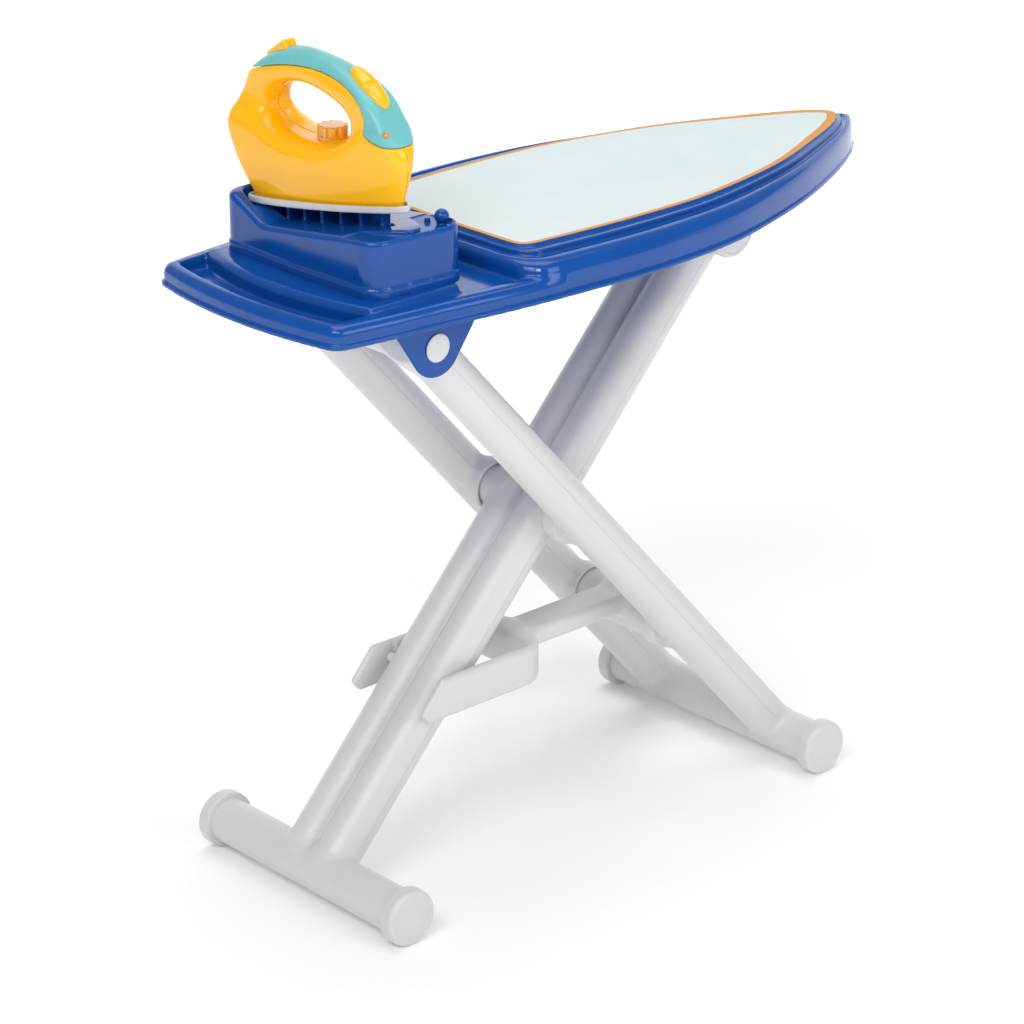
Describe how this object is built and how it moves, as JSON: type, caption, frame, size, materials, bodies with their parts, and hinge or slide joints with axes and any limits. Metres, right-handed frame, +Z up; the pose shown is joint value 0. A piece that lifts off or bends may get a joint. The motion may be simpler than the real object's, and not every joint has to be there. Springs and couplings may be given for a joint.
{
  "type": "toy ironing board",
  "caption": "Child's folding ironing board on scissor legs with a locking fork and a toy iron standing in its rest.",
  "frame": {"origin": "on the floor, under the middle of the board's length and width", "axes": "+X towards the board's nose, +Z up, -Y towards the side with the rest's knob"},
  "size_m": [0.6539, 0.2588, 0.6686],
  "materials": {
    "white_plastic": "satin",
    "blue_plastic": "gloss",
    "cover_print": "matt",
    "yellow_plastic": "gloss",
    "teal_plastic": "satin",
    "sole_silver": "satin",
    "amber_clear": "clear",
    "screw_steel": "plain"
  },
  "bodies": {
    "outer_frame": {"outer_leg_near": "white_plastic", "outer_leg_far": "white_plastic", "top_cross_tube": "white_plastic", "outer_foot_tube": "white_plastic", "outer_foot_cap_near": "white_plastic", "outer_foot_cap_far": "white_plastic", "pivot_pin_near": "white_plastic", "pivot_pin_far": "white_plastic", "hub_socket_near": "white_plastic", "hub_socket_far": "white_plastic", "journal_socket_near": "white_plastic", "journal_socket_far": "white_plastic"},
    "inner_frame": {"inner_column": "white_plastic", "inner_foot_tube": "white_plastic", "inner_foot_cap_near": "white_plastic", "inner_foot_cap_far": "white_plastic", "slide_bar": "white_plastic", "slide_cap_near": "white_plastic", "slide_cap_far": "white_plastic", "lock_peg_near": "white_plastic", "lock_peg_far": "white_plastic", "cross_hub_near": "white_plastic", "cross_hub_far": "white_plastic"},
    "fork": {"fork_journal": "white_plastic", "locking_fork": "white_plastic"},
    "board": {"board_shell": "blue_plastic", "iron_rest": "blue_plastic", "rest_knob": "blue_plastic", "rest_peg": "blue_plastic", "cover_sheet": "cover_print", "pivot_ear_near": "blue_plastic", "pivot_ear_far": "blue_plastic", "slide_rail_near": "blue_plastic", "slide_rail_far": "blue_plastic"},
    "iron": {"soleplate": "sole_silver", "body_left": "yellow_plastic", "body_right": "yellow_plastic", "top_cover": "teal_plastic", "pilot_lens": "amber_clear", "case_screws": "screw_steel"},
    "rocker": {"rocker_button": "yellow_plastic"},
    "thumb": {"rear_button": "yellow_plastic"},
    "dial": {"thermostat_dial": "amber_clear"}
  },
  "joints": [
    {"name": "scissor_fold", "type": "hinge", "parent": "outer_frame", "child": "inner_frame", "pos_m": [-0.03685, 0, 0.26865], "axis": [0, 1, 0], "range_deg": [0, 80]},
    {"name": "board_fold", "type": "hinge", "parent": "outer_frame", "child": "board", "pos_m": [-0.208, 0, 0.4619], "axis": [0, 1, 0], "range_deg": [0, 41]},
    {"name": "fork_lift", "type": "hinge", "parent": "outer_frame", "child": "fork", "pos_m": [0.07189, 0, 0.14588], "axis": [0, 1, 0], "range_deg": [0, 28]},
    {"name": "iron_lift", "type": "slide", "parent": "board", "child": "iron", "axis": [0, 0, 1], "range_m": [0, 0.15]},
    {"name": "rocker_tilt", "type": "hinge", "parent": "iron", "child": "rocker", "pos_m": [-0.22, -0.034, 0.649], "axis": [1, 0, 0], "range_deg": [-4, 4], "stiffness_Nm_per_rad": 0.15},
    {"name": "thumb_press", "type": "slide", "parent": "iron", "child": "thumb", "axis": [0, -0.5, -0.866], "range_m": [0, 0.003], "stiffness_N_per_m": 400},
    {"name": "dial_turn", "type": "hinge", "parent": "iron", "child": "dial", "pos_m": [-0.22, 0.01, 0.603], "axis": [0, 0, 1], "range_deg": [-135, 135]}
  ],
  "couplings": [
    {"joint": "board_fold", "follows": "scissor_fold", "ratio": 0.509}
  ]
}
